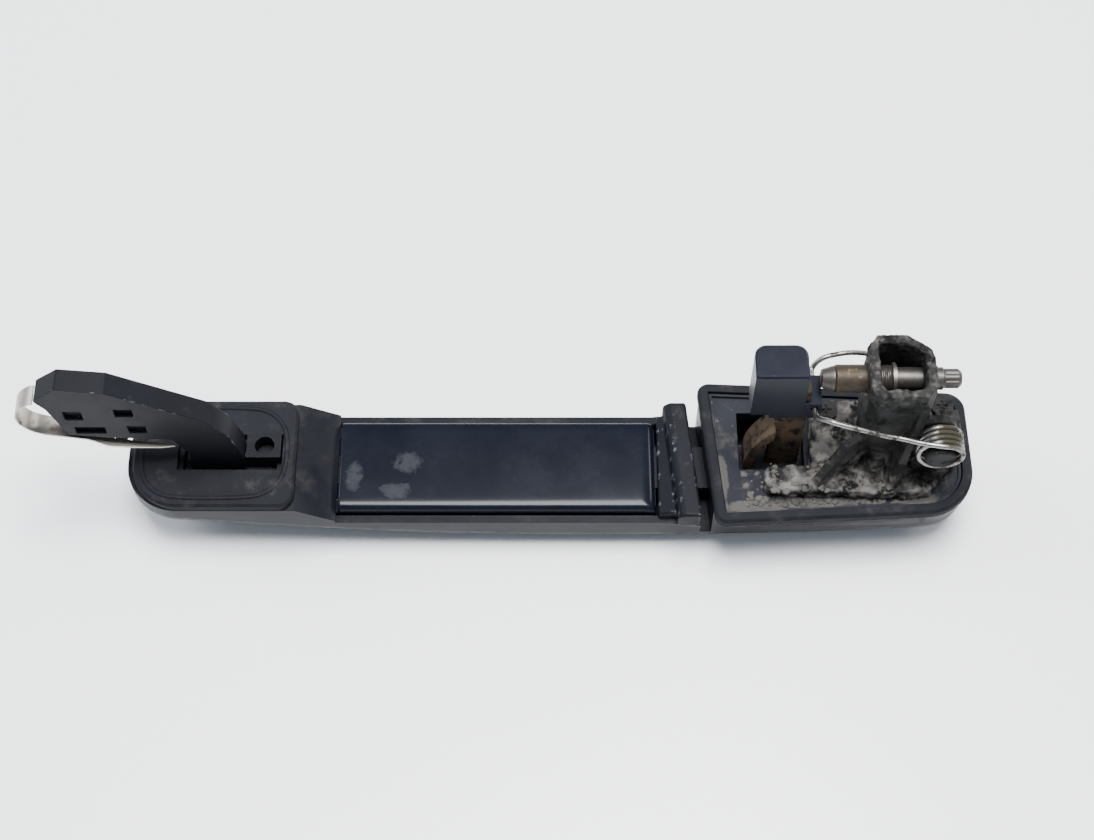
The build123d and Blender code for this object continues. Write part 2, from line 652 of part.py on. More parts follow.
# ---------------------------------------------------------------- lever
lever_top = flap_top - flap_skin
lever_bottom = lever_top - lever_thick
stem_rear = lever_rear
stem_front = stem_rear - stem_width
rivet_places = [(-72.0, 0.0), (-62.0, 0.0), (-52.0, 0.0)]
with BuildPart() as trigger_lever:
    block_between((lever_front, lever_rear), (-lever_half, lever_half), (lever_bottom, lever_top))
    block_between((stem_front, stem_rear), stem_y, (lever_top, stem_top))
    # The folded flange that stiffens the stem.
    with BuildSketch(Plane.XZ.offset(-stem_y[1])):
        with BuildLine():
            ThreePointArc((-23.4, lever_top), (-22.6, 3.5), (stem_front + 0.5, 13.0))
            Line((stem_front + 0.5, 13.0), (stem_front + 0.5, 9.0))
            ThreePointArc((stem_front + 0.5, 9.0), (-20.4, 2.0), (-21.2, lever_top))
            Line((-21.2, lever_top), (-23.4, lever_top))
        make_face()
    extrude(amount=stem_y[1] + 1.5)
    for x, y in rivet_places:
        cylinder_z(x, y, rivet_r, lever_bottom, lever_top, Mode.SUBTRACT)
finish(trigger_lever.part, "trigger_lever")

with BuildPart() as lever_rivets:
    for x, y in rivet_places:
        cylinder_z(x, y, rivet_r, lever_bottom, lever_top)
        cylinder_z(x, y, rivet_r + rivet_head, lever_bottom - rivet_head_thick, lever_bottom)
finish(lever_rivets.part, "lever_rivets")

# ---------------------------------------------------------------- pusher head
with BuildPart() as pusher_head:
    block_between(head_x, head_y, head_z)
    back_edges = pusher_head.edges().filter_by(Axis.Z).group_by(Axis.Y)[-1]
    fillet(back_edges, head_round)
    chamfer(pusher_head.faces().sort_by(Axis.Z)[-1].edges(), 0.5)
    block_between((head_x[1] - 1, ear_x), (head_y[0], head_y[1] - head_step), ear_z)
    block_between((stem_front - 1.6, stem_rear + 1.3), (head_y[0], head_y[1] - head_step),
                  (head_z[0] - 1.5, head_z[0] + 1))
    block_between((stem_front - slip, stem_rear + slip), (stem_y[0] - slip, stem_y[1] + slip),
                  (head_z[0] - 3, stem_top), Mode.SUBTRACT)
    cylinder_y(*hook_hole, hook_hole_r, head_y[0] - 1, head_y[0] + 3, Mode.SUBTRACT)
    cylinder_y(*hook_hole, hook_hole_r, head_y[1] - 3, head_y[1] + 1, Mode.SUBTRACT)
finish(pusher_head.part, "pusher_head")

# ---------------------------------------------------------------- bridge at the flap's end
bridge_rear = -trench_width
bridge_front = bridge_rear - bridge_width
with BuildPart() as grip_bridge:
    loft([edge_band(bridge_front, bridge_rear, bridge_half, grip_rim_z).face(),
          edge_band(bridge_front, bridge_rear, bridge_half, bridge_top - bridge_slope).face()])
    loft([edge_band(bridge_front, bridge_rear, bridge_half, bridge_top - bridge_slope).face(),
          edge_band(bridge_front + bridge_slope, bridge_rear, bridge_half, bridge_top).face()])
    # The apron that slopes down to the flap's end.
    apron_front = flap_right + apron_gap
    apron_rear = foot_edge_x(-bridge_half) + bridge_front + bridge_slope
    side_plate([(apron_front, grip_rim_z), (apron_front, grip_rim_z + apron_low),
                (apron_rear, grip_rim_z + apron_high), (apron_rear, grip_rim_z)],
               -shell_half + grip_step, shell_half - grip_step)
    block_between((grip_end - 5, -30), (-lever_half - lever_gap, lever_half + lever_gap),
                  (grip_rim_z - 1, lever_top + 0.3), Mode.SUBTRACT)
finish(grip_bridge.part, "grip_bridge")

# ---------------------------------------------------------------- rubber stops
buffer_x = flap_right - 1.6
flap_end_drop = (buffer_x - pivot_x) * tan(radians(stroke_deg))
with BuildPart() as pull_buffers:
    for y in (-9.0, 9.0):
        cylinder_z(buffer_x, y, 2.6, -25, flap_top - flap_depth - flap_end_drop - 0.3)
    add(shell_hollow, mode=Mode.INTERSECT)
finish(pull_buffers.part, "pull_buffers")

with BuildPart() as rest_pad:
    block_between((-30.6, -25.6), (-lever_half + 0.5, lever_half - 0.5), (lever_top + seat_gap, ledge_z))
finish(rest_pad.part, "rest_pad")
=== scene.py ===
import json
from math import cos, pi, radians, sin

import bmesh
import bpy
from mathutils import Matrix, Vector, noise


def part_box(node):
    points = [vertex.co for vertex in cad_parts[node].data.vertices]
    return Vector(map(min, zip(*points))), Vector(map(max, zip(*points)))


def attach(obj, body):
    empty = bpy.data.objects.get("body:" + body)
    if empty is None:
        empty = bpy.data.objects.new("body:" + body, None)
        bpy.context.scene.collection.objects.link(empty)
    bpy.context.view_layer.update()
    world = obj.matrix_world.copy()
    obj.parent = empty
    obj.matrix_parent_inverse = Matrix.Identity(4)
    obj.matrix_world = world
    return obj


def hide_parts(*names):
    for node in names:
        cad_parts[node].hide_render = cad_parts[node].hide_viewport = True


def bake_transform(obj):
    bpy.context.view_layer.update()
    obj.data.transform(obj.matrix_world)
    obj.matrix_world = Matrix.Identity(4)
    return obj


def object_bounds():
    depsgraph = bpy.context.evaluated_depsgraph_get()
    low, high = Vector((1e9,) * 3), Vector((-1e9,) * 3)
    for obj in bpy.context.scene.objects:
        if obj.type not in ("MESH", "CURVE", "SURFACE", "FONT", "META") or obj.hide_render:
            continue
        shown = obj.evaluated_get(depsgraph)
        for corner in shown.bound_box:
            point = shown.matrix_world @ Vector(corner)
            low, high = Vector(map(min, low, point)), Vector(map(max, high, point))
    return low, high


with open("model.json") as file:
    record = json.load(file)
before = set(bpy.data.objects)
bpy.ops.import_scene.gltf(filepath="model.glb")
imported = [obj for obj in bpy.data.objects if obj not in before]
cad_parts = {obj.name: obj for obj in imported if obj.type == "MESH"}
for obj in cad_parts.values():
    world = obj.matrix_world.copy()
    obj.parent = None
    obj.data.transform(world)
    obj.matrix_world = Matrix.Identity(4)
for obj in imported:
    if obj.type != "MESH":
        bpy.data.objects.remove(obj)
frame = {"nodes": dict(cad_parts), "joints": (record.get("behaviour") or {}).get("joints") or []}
cad_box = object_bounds()
MM = 0.001

# ---------------------------------------------------------------- outer shell
# The moulded and painted grip: a bowed tub with a foot at each end. Its paint is black with a
# blue cast, hazed in patches by road dust that lies mostly on the faces that look up.


def new_group(name, inputs, output, kind):
    """An empty shader group with number inputs and one output."""
    group = bpy.data.node_groups.new(name, "ShaderNodeTree")
    for label, value in inputs.items():
        socket = group.interface.new_socket(label, in_out="INPUT", socket_type="NodeSocketFloat")
        socket.default_value = value
    group.interface.new_socket(output, in_out="OUTPUT", socket_type=kind)
    return group, group.nodes.new("NodeGroupInput"), group.nodes.new("NodeGroupOutput")


def join(tree, start, end):
    tree.links.new(start, end)


def build_dirt_group():
    """Patches of dirt: 1 where it lies thick. Facing keeps it to faces that look up."""
    inputs = {"Scale": 200.0, "Low": 0.5, "High": 0.7, "Facing": 0.5}
    group, start, end = new_group("settled_dirt", inputs, "Mask", "NodeSocketFloat")
    coords = group.nodes.new("ShaderNodeTexCoord")
    patches = group.nodes.new("ShaderNodeTexNoise")
    patches.inputs["Detail"].default_value = 8.0
    patches.inputs["Roughness"].default_value = 0.68
    span = group.nodes.new("ShaderNodeMapRange")
    span.interpolation_type = "SMOOTHSTEP"
    normal = group.nodes.new("ShaderNodeNewGeometry")
    upward = group.nodes.new("ShaderNodeSeparateXYZ")
    kept = group.nodes.new("ShaderNodeMapRange")
    kept.inputs["From Min"].default_value = -0.1
    kept.inputs["From Max"].default_value = 0.7
    share = group.nodes.new("ShaderNodeMix")
    share.inputs["A"].default_value = 1.0
    total = group.nodes.new("ShaderNodeMath")
    total.operation = "MULTIPLY"
    join(group, coords.outputs["Object"], patches.inputs["Vector"])
    join(group, start.outputs["Scale"], patches.inputs["Scale"])
    join(group, patches.outputs["Fac"], span.inputs["Value"])
    join(group, start.outputs["Low"], span.inputs["From Min"])
    join(group, start.outputs["High"], span.inputs["From Max"])
    join(group, normal.outputs["Normal"], upward.inputs["Vector"])
    join(group, upward.outputs["Z"], kept.inputs["Value"])
    join(group, start.outputs["Facing"], share.inputs["Factor"])
    join(group, kept.outputs["Result"], share.inputs["B"])
    join(group, span.outputs["Result"], total.inputs[0])
    join(group, share.outputs["Result"], total.inputs[1])
    join(group, total.outputs["Value"], end.inputs["Mask"])
    return group


def build_grain_group():
    """Fine moulding grain and pitting as one height."""
    group, start, end = new_group("fine_grain", {"Scale": 3000.0, "Pits": 0.3}, "Height", "NodeSocketFloat")
    coords = group.nodes.new("ShaderNodeTexCoord")
    grain = group.nodes.new("ShaderNodeTexNoise")
    grain.inputs["Detail"].default_value = 4.0
    pits = group.nodes.new("ShaderNodeTexVoronoi")
    both = group.nodes.new("ShaderNodeMix")
    join(group, coords.outputs["Object"], grain.inputs["Vector"])
    join(group, coords.outputs["Object"], pits.inputs["Vector"])
    join(group, start.outputs["Scale"], grain.inputs["Scale"])
    join(group, start.outputs["Scale"], pits.inputs["Scale"])
    join(group, start.outputs["Pits"], both.inputs["Factor"])
    join(group, grain.outputs["Fac"], both.inputs["A"])
    join(group, pits.outputs["Distance"], both.inputs["B"])
    join(group, both.outputs["Result"], end.inputs["Height"])
    return group


dirt_group = build_dirt_group()
grain_group = build_grain_group()


def place_group(mat, group, **values):
    """The group in a material, with its own values."""
    node = mat.node_tree.nodes.new("ShaderNodeGroup")
    node.node_tree = group
    for label, value in values.items():
        node.inputs[label.replace("_", " ")].default_value = value
    return node


def lay_over(mat, mask, colour, roughness):
    """Cover what the shader has so far with a colour and a roughness, where mask is 1."""
    tree = mat.node_tree
    shader = tree.nodes["Principled BSDF"]
    tint = tree.nodes.new("ShaderNodeMix")
    tint.data_type = "RGBA"
    old_colour = shader.inputs["Base Color"]
    if old_colour.is_linked:
        join(tree, old_colour.links[0].from_socket, tint.inputs[6])
    else:
        tint.inputs[6].default_value = old_colour.default_value
    tint.inputs[7].default_value = (*colour, 1.0)
    join(tree, mask, tint.inputs["Factor"])
    join(tree, tint.outputs[2], old_colour)
    sheen = tree.nodes.new("ShaderNodeMix")
    old_rough = shader.inputs["Roughness"]
    if old_rough.is_linked:
        join(tree, old_rough.links[0].from_socket, sheen.inputs["A"])
    else:
        sheen.inputs["A"].default_value = old_rough.default_value
    sheen.inputs["B"].default_value = roughness
    join(tree, mask, sheen.inputs["Factor"])
    join(tree, sheen.outputs["Result"], old_rough)


def used_material(name, colour, shade, roughness, grain_scale, grain_height, metallic=0.0, coat=0.0):
    """A surface that has seen use: two tones of its own colour over a fine grain."""
    mat = bpy.data.materials.new(name)
    mat.use_nodes = True
    tree = mat.node_tree
    shader = tree.nodes["Principled BSDF"]
    shader.inputs["Base Color"].default_value = (*colour, 1.0)
    shader.inputs["Roughness"].default_value = roughness
    shader.inputs["Metallic"].default_value = metallic
    shader.inputs["Coat Weight"].default_value = coat
    shader.inputs["Coat Roughness"].default_value = 0.12
    shader.inputs["Specular IOR Level"].default_value = 0.1
    patches = place_group(mat, dirt_group, Scale=60.0, Low=0.35, High=0.65, Facing=0.0)
    lay_over(mat, patches.outputs["Mask"], shade, min(1.0, roughness * 1.2))
    grain = place_group(mat, grain_group, Scale=grain_scale)
    bump = tree.nodes.new("ShaderNodeBump")
    bump.inputs["Distance"].default_value = grain_height
    bump.inputs["Strength"].default_value = 0.6
    join(tree, grain.outputs["Height"], bump.inputs["Height"])
    join(tree, bump.outputs["Normal"], shader.inputs["Normal"])
    return mat


def add_dirt(mat, colour, scale, low, high, facing=0.6, roughness=0.9):
    """Settled dirt on a material."""
    mask = place_group(mat, dirt_group, Scale=scale, Low=low, High=high, Facing=facing)
    lay_over(mat, mask.outputs["Mask"], colour, roughness)


def give(piece, mat):
    """Put a material on a piece, over whatever it had."""
    piece.data.materials.clear()
    piece.data.materials.append(mat)


def smooth_faces(mesh, angle=radians(32)):
    """Smooth shading, kept crisp where two faces meet at more than angle."""
    for face in mesh.faces:
        face.smooth = True
    for edge in mesh.edges:
        edge.smooth = not edge.is_manifold or edge.calc_face_angle() < angle


def as_piece(mesh, name):
    """A finished object from a bmesh."""
    data = bpy.data.meshes.new(name)
    mesh.to_mesh(data)
    mesh.free()
    piece = bpy.data.objects.new(name, data)
    bpy.context.scene.collection.objects.link(piece)
    return piece


def merged_copy(node):
    """A CAD node's mesh with its loose triangles joined into whole faces."""
    mesh = bmesh.new()
    mesh.from_mesh(frame["nodes"][node].data)
    bmesh.ops.remove_doubles(mesh, verts=mesh.verts, dist=0.002 * MM)
    bmesh.ops.dissolve_limit(mesh, angle_limit=radians(0.6), verts=mesh.verts, edges=mesh.edges)
    return mesh


def eased_copy(node, name, width, segments=2, sharp=radians(38)):
    """The CAD node with its sharp edges rounded over, marked in the worn_edge attribute."""
    mesh = merged_copy(node)
    worn = mesh.faces.layers.float.new("worn_edge")
    edges = [edge for edge in mesh.edges if edge.is_manifold and edge.calc_face_angle() > sharp]
    rounded = bmesh.ops.bevel(mesh, geom=edges, offset=width, offset_type="OFFSET", affect="EDGES",
                              segments=segments, profile=0.5, material=-1, clamp_overlap=True)
    for face in rounded["faces"]:
        face[worn] = 1.0
    smooth_faces(mesh)
    piece = as_piece(mesh, name)
    even = piece.modifiers.new("even", "WEIGHTED_NORMAL")
    even.keep_sharp = True
    even.weight = 100
    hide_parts(node)
    return piece


shell_paint = used_material("shell_paint", (0.0035, 0.0042, 0.007), (0.006, 0.0065, 0.009), 0.32, 900.0,
                            0.01 * MM, coat=0.04)
add_dirt(shell_paint, (0.024, 0.023, 0.023), 90.0, 0.48, 0.8, facing=0.3, roughness=0.6)
add_dirt(shell_paint, (0.09, 0.088, 0.086), 900.0, 0.66, 0.76, facing=0.6)
shell = eased_copy("outer_shell", "grip_shell", 0.35 * MM)
give(shell, shell_paint)
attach(shell, "grip")

# ---------------------------------------------------------------- foot gaskets
# Soft black rubber pads that seal both feet on the door's skin. The front one is a full pad
# with a raised lip; the rear one is a rounded rim. Dust has greyed both in patches.
rubber = used_material("gasket_rubber", (0.0052, 0.0058, 0.0078), (0.009, 0.0097, 0.0125), 0.6, 1600.0,
                       0.03 * MM)
add_dirt(rubber, (0.035, 0.034, 0.035), 160.0, 0.5, 0.8, facing=0.4)
add_dirt(rubber, (0.1, 0.098, 0.095), 1100.0, 0.67, 0.77)

front_pad = eased_copy("front_gasket", "front_pad", 0.5 * MM, 3)
give(front_pad, rubber)
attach(front_pad, "grip")
rear_rim = eased_copy("rear_gasket", "rear_rim", 0.7 * MM, 3)
give(rear_rim, rubber)
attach(rear_rim, "grip")


def tube(name, points, radius, cyclic=False, order=3):
    """A round bead or wire along a smooth line through control points."""
    line = bpy.data.curves.new(name, "CURVE")
    line.dimensions = "3D"
    line.bevel_depth = radius
    line.bevel_resolution = 4
    line.resolution_u = 6
    line.use_fill_caps = not cyclic
    spline = line.splines.new("NURBS")
    spline.points.add(len(points) - 1)
    for point, place in zip(spline.points, points):
        point.co = (*place, 1.0)
    spline.use_cyclic_u = cyclic
    spline.order_u = order
    spline.use_endpoint_u = not cyclic
    holder = bpy.data.objects.new(name + "_line", line)
    bpy.context.scene.collection.objects.link(holder)
    evaluated = holder.evaluated_get(bpy.context.evaluated_depsgraph_get())
    data = bpy.data.meshes.new_from_object(evaluated)
    bpy.data.objects.remove(holder)
    mesh = bmesh.new()
    mesh.from_mesh(data)
    bpy.data.meshes.remove(data)
    bmesh.ops.remove_doubles(mesh, verts=mesh.verts, dist=0.01 * MM)
    smooth_faces(mesh, radians(50))
    return as_piece(mesh, name)


def rounded_loop(low, high, corner, z):
    """Control points of a rectangle with rounded corners."""
    points = []
    quarters = ((high[0], high[1], 0), (low[0], high[1], 90), (low[0], low[1], 180), (high[0], low[1], 270))
    for x, y, turn in quarters:
        inward_x = -corner if x == high[0] else corner
        inward_y = -corner if y == high[1] else corner
        centre = Vector((x + inward_x, y + inward_y, z))
        for step in (0, 30, 60, 90):
            angle = radians(turn + step)
            points.append(centre + Vector((corner * cos(angle), corner * sin(angle), 0)))
    return points


pad_low, pad_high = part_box("front_gasket")
lip_inset = 2.3 * MM
lip_corner = 9.5 * MM
lip_level = -0.25 * MM
lip_bead = 0.7 * MM
lip_low = (pad_low[0] + lip_inset, pad_low[1] + lip_inset)
lip_high = (pad_high[0] - lip_inset, pad_high[1] - lip_inset)
lip_line = rounded_loop(lip_low, lip_high, lip_corner, lip_level)
pad_lip = tube("front_pad_lip", lip_line, lip_bead, cyclic=True)
give(pad_lip, rubber)
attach(pad_lip, "grip")

# ---------------------------------------------------------------- front foot plate and hook arm
# Glass-filled black plastic. The arm hooks behind the door's reinforcement; the square block
# beside it takes a locating peg. Rubbing has worn spots of their edges bright.


def add_worn_edges(mat, colour, roughness=0.4):
    """Bare, rubbed edges, where the piece's worn_edge attribute and a noise allow."""
    tree = mat.node_tree
    edge = tree.nodes.new("ShaderNodeAttribute")
    edge.attribute_name = "worn_edge"
    rubs = place_group(mat, dirt_group, Scale=420.0, Low=0.54, High=0.68, Facing=0.0)
    both = tree.nodes.new("ShaderNodeMath")
    both.operation = "MULTIPLY"
    join(tree, edge.outputs["Fac"], both.inputs[0])
    join(tree, rubs.outputs["Mask"], both.inputs[1])
    lay_over(mat, both.outputs["Value"], colour, roughness)


black_plastic = used_material("black_moulding", (0.0034, 0.0038, 0.0058), (0.0052, 0.0058, 0.0085), 0.45,
                              1300.0, 0.025 * MM)
add_worn_edges(black_plastic, (0.1, 0.108, 0.125), 0.3)
add_dirt(black_plastic, (0.032, 0.031, 0.031), 240.0, 0.58, 0.82, facing=0.3)

foot_plate = eased_copy("front_plate", "peg_block_plate", 0.3 * MM)
give(foot_plate, black_plastic)
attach(foot_plate, "grip")
arm = eased_copy("hook_arm", "hook_arm_moulding", 0.55 * MM, 3)
give(arm, black_plastic)
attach(arm, "grip")

# ---------------------------------------------------------------- leaf clip
# A strip of spring steel looped round the arm's tip, which takes up the play in the door.
# The metal is bright, with brown patches where water has sat.
spring_steel = used_material("spring_steel", (0.42, 0.4, 0.37), (0.3, 0.27, 0.23), 0.33, 2600.0, 0.01 * MM,
                             metallic=1.0)
add_dirt(spring_steel, (0.16, 0.105, 0.06), 260.0, 0.55, 0.7, facing=0.0, roughness=0.7)
clip = eased_copy("hook_clip", "hook_clip_strip", 0.12 * MM, 2, radians(60))
give(clip, spring_steel)
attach(clip, "grip")

# ---------------------------------------------------------------- pull flap
# The glossy moulding that the fingers pull. Its long edges roll down into the shell and its
# end towards the lock rounds over. Three dull blotches mark its back.


def build_blotch_group():
    """A soft-edged blotch of a given size, with a ragged outline."""
    inputs = {"X": 0.0, "Y": 0.0, "Half Width": 0.01, "Half Height": 0.01, "Ragged": 0.5}
    group, start, end = new_group("blotch", inputs, "Mask", "NodeSocketFloat")
    coords = group.nodes.new("ShaderNodeTexCoord")
    split = group.nodes.new("ShaderNodeSeparateXYZ")
    join(group, coords.outputs["Object"], split.inputs["Vector"])
    squares = []
    for axis, half in (("X", "Half Width"), ("Y", "Half Height")):
        away = group.nodes.new("ShaderNodeMath")
        away.operation = "SUBTRACT"
        scaled = group.nodes.new("ShaderNodeMath")
        scaled.operation = "DIVIDE"
        squared = group.nodes.new("ShaderNodeMath")
        squared.operation = "POWER"
        squared.inputs[1].default_value = 2.0
        size = group.nodes.new("ShaderNodeMath")
        size.operation = "ABSOLUTE"
        join(group, split.outputs[axis], away.inputs[0])
        join(group, start.outputs[axis], away.inputs[1])
        join(group, away.outputs["Value"], scaled.inputs[0])
        join(group, start.outputs[half], scaled.inputs[1])
        join(group, scaled.outputs["Value"], size.inputs[0])
        join(group, size.outputs["Value"], squared.inputs[0])
        squares.append(squared)
    distance = group.nodes.new("ShaderNodeMath")
    distance.operation = "ADD"
    join(group, squares[0].outputs["Value"], distance.inputs[0])
    join(group, squares[1].outputs["Value"], distance.inputs[1])
    edge = group.nodes.new("ShaderNodeTexNoise")
    edge.inputs["Scale"].default_value = 480.0
    edge.inputs["Detail"].default_value = 7.0
    edge.inputs["Roughness"].default_value = 0.7
    join(group, coords.outputs["Object"], edge.inputs["Vector"])
    rough_edge = group.nodes.new("ShaderNodeMath")
    rough_edge.operation = "MULTIPLY_ADD"
    rough_edge.inputs[2].default_value = 0.0
    join(group, edge.outputs["Fac"], rough_edge.inputs[0])
    join(group, start.outputs["Ragged"], rough_edge.inputs[1])
    summed = group.nodes.new("ShaderNodeMath")
    summed.operation = "ADD"
    join(group, distance.outputs["Value"], summed.inputs[0])
    join(group, rough_edge.outputs["Value"], summed.inputs[1])
    fade = group.nodes.new("ShaderNodeMapRange")
    fade.interpolation_type = "SMOOTHSTEP"
    fade.inputs["From Min"].default_value = 1.55
    fade.inputs["From Max"].default_value = 1.05
    join(group, summed.outputs["Value"], fade.inputs["Value"])
    join(group, fade.outputs["Result"], end.inputs["Mask"])
    return group


blotch_group = build_blotch_group()

flap_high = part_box("trigger_flap")[1]
flap_rows = 120
flap_columns = 48
flap_wall = 1.2 * MM
edge_drop = 2.2 * MM
end_roll = 5.0 * MM
flap_crown = 0.25 * MM
flap_rear = -46.0 * MM
flap_left = frame["joints"][0]["pos_m"][0]
side_power = 18
end_power = 3

mesh = bmesh.new()
bmesh.ops.create_grid(mesh, x_segments=flap_rows, y_segments=flap_columns, size=1.0)
for vert in mesh.verts:
    along, across = vert.co.x, vert.co.y
    x = flap_left + (flap_rear - flap_left) * (along + 1) / 2
    y = flap_high[1] * across
    side = edge_drop * (1 - (1 - abs(across) ** side_power) ** 0.5)
    to_end = max(0.0, (x - (flap_rear - end_roll)) / end_roll)
    end = edge_drop * (1 - (1 - min(1.0, to_end) ** end_power) ** 0.5)
    z = flap_high[2] - flap_crown * across ** 2 - min(edge_drop, (side ** 2 + end ** 2) ** 0.5)
    vert.co = (x, y, z)
smooth_faces(mesh, radians(70))
bmesh.ops.solidify(mesh, geom=mesh.faces, thickness=flap_wall)
bmesh.ops.recalc_face_normals(mesh, faces=mesh.faces)

# Below the skin, the flap's walls, ribs and knuckles are the CAD node's own, drawn in a little
# across the grip.
skin_depth = 1.9 * MM
skirt_ease = 0.99
under = merged_copy("trigger_flap")
under_top = (0.0, 0.0, flap_high[2] - skin_depth)
bmesh.ops.bisect_plane(under, geom=under.verts[:] + under.edges[:] + under.faces[:], dist=0.001 * MM,
                       plane_co=under_top, plane_no=(0.0, 0.0, 1.0), clear_outer=True)
bmesh.ops.holes_fill(under, edges=[edge for edge in under.edges if edge.is_boundary])
for vert in under.verts:
    vert.co.y *= skirt_ease
smooth_faces(under)
below = bpy.data.meshes.new("flap_underside")
under.to_mesh(below)
under.free()
mesh.from_mesh(below)
bpy.data.meshes.remove(below)
flap = as_piece(mesh, "pull_flap")
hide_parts("trigger_flap")
flap_gloss = used_material("flap_gloss", (0.0028, 0.0036, 0.0075), (0.004, 0.005, 0.0095), 0.24, 500.0,
                           0.004 * MM, coat=0.12)
for blotch in ((-123.2, -3.5, 3.2, 6.4), (-109.6, 0.4, 5.4, 4.6), (-112.5, -7.6, 5.6, 3.4)):
    x, y, half_width, half_height = (value * MM for value in blotch)
    mark = place_group(flap_gloss, blotch_group, X=x, Y=y, Half_Width=half_width, Half_Height=half_height,
                       Ragged=2.0)
    lay_over(flap_gloss, mark.outputs["Mask"], (0.0165, 0.0175, 0.023), 0.5)
add_dirt(flap_gloss, (0.05, 0.05, 0.055), 1500.0, 0.7, 0.78, facing=0.4)
give(flap, flap_gloss)
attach(flap, "trigger")

# ---------------------------------------------------------------- bridge at the flap's end
# A separate black moulding across the grip, parallel to the rear foot's slanting edge. An apron
# slopes from it down to the flap's end. Rubbing has worn spots of its edges bright.
bridge = eased_copy("grip_bridge", "bridge_moulding", 0.8 * MM, 3)
give(bridge, black_plastic)
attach(bridge, "grip")

# ---------------------------------------------------------------- rear foot plate
# Black moulding inside the rubber rim, sunk a little and grey with dust, which has caked
# along its near edge and at the end towards the flap.
dusty_plastic = used_material("dusty_moulding", (0.0095, 0.0105, 0.015), (0.0165, 0.0175, 0.0225), 0.55,
                              1300.0, 0.04 * MM)
caked_patches = ((-22.0, -15.0, 10.0, 2.6), (-8.0, -13.4, 14.0, 2.4), (19.0, -12.6, 7.0, 2.6),
                 (-29.5, -7.0, 2.0, 8.0))
for patch in caked_patches:
    x, y, half_width, half_height = (value * MM for value in patch)
    cake = place_group(dusty_plastic, blotch_group, X=x, Y=y, Half_Width=half_width, Half_Height=half_height,
                       Ragged=1.3)
    lay_over(dusty_plastic, cake.outputs["Mask"], (0.062, 0.06, 0.057), 0.9)
add_dirt(dusty_plastic, (0.05, 0.048, 0.047), 150.0, 0.5, 0.72, facing=0.6)
add_dirt(dusty_plastic, (0.17, 0.165, 0.155), 620.0, 0.62, 0.74, facing=0.8)
rear_plate = eased_copy("rear_plate", "rear_foot_plate", 0.25 * MM)
give(rear_plate, dusty_plastic)
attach(rear_plate, "grip")

# ---------------------------------------------------------------- bracket casting
# A rough zinc die casting that carries the fixing screw and the spring. Corrosion and packed
# road dirt have roughened its skin, most of all at its foot and round the tower's mouth.
casting_voxel = 0.42 * MM
screw_y, screw_z = 5.0 * MM, 28.0 * MM
bore_radius = 3.9 * MM
bore_blend = 1.5 * MM
caked_height = 12 * MM
mouth_from = 30 * MM
mouth_height = 6 * MM

mesh = merged_copy("rear_bracket")
rough_casting = as_piece(mesh, "casting_blank")
fine = rough_casting.modifiers.new("fine", "REMESH")
fine.mode = "VOXEL"
fine.voxel_size = casting_voxel
evaluated = rough_casting.evaluated_get(bpy.context.evaluated_depsgraph_get())
data = bpy.data.meshes.new_from_object(evaluated)
bpy.data.objects.remove(rough_casting)
mesh = bmesh.new()
mesh.from_mesh(data)
bpy.data.meshes.remove(data)
bmesh.ops.smooth_vert(mesh, verts=mesh.verts, factor=0.5, use_axis_x=True, use_axis_y=True,
                      use_axis_z=True)
mesh.normal_update()
caked = mesh.verts.layers.float.new("caked")
screw_axis = Vector((0.0, screw_y, screw_z))
for vert in mesh.verts:
    low = max(0.0, min(1.0, (caked_height - vert.co.z) / caked_height))
    coarse = noise.fractal(vert.co * 260.0, 1.0, 2.1, 5)
    lumps = noise.fractal(vert.co * 700.0 + Vector((3.1, 1.7, 8.2)), 1.0, 2.0, 4)
    from_bore = (Vector((0, vert.co.y, vert.co.z)) - screw_axis).length
    bore_clear = max(0.0, min(1.0, (from_bore - bore_radius) / bore_blend))
    high = max(0.0, min(1.0, (vert.co.z - mouth_from) / mouth_height))
    depth = (0.14 + 0.3 * low + 0.35 * high) * coarse + (0.08 + 0.3 * low + 0.12 * high) * lumps
    vert.co += vert.normal * depth * MM * bore_clear
    at_foot = 0.62 * low * low + 1.3 * coarse * low + 0.4 * lumps * low
    at_mouth = (0.06 + 0.6 * lumps) * high
    vert[caked] = max(0.0, min(1.0, at_foot + at_mouth))
smooth_faces(mesh, radians(75))
casting = as_piece(mesh, "zinc_casting")
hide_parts("rear_bracket")
zinc = used_material("zinc_casting", (0.0125, 0.0125, 0.0125), (0.026, 0.0255, 0.0245), 0.6, 1500.0,
                     0.12 * MM)
zinc.node_tree.nodes["Principled BSDF"].inputs["Metallic"].default_value = 0.35
crust = zinc.node_tree.nodes.new("ShaderNodeAttribute")
crust.attribute_name = "caked"
lay_over(zinc, crust.outputs["Fac"], (0.145, 0.137, 0.127), 0.95)
add_dirt(zinc, (0.16, 0.155, 0.145), 520.0, 0.58, 0.7, facing=0.7)
add_dirt(zinc, (0.009, 0.009, 0.009), 260.0, 0.5, 0.62, facing=0.0)
give(casting, zinc)
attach(casting, "grip")

# ---------------------------------------------------------------- packed dirt
# Crumbs of road dirt on the rear foot. Half have packed along the casting's near edge and the
# rest lie scattered over its foot and the plate; none lies in the lever's opening.
crumb_count = 260
crumb_seed = Vector((0.31, 4.7, 9.2))
opening_left, opening_right, opening_near = -25.5 * MM, -8 * MM, -4.5 * MM
corner_x, corner_y = 20 * MM, -9.5 * MM
casting_left = -18 * MM
cake_on_casting = 2.2 * MM
cake_on_plate = -1.7 * MM


def spread(index, row):
    """A repeatable value from 0 to 1 for one crumb."""
    return 0.5 + 0.5 * noise.cell(crumb_seed + Vector((index * 1.37, row * 2.91, index * 0.173 + row)))


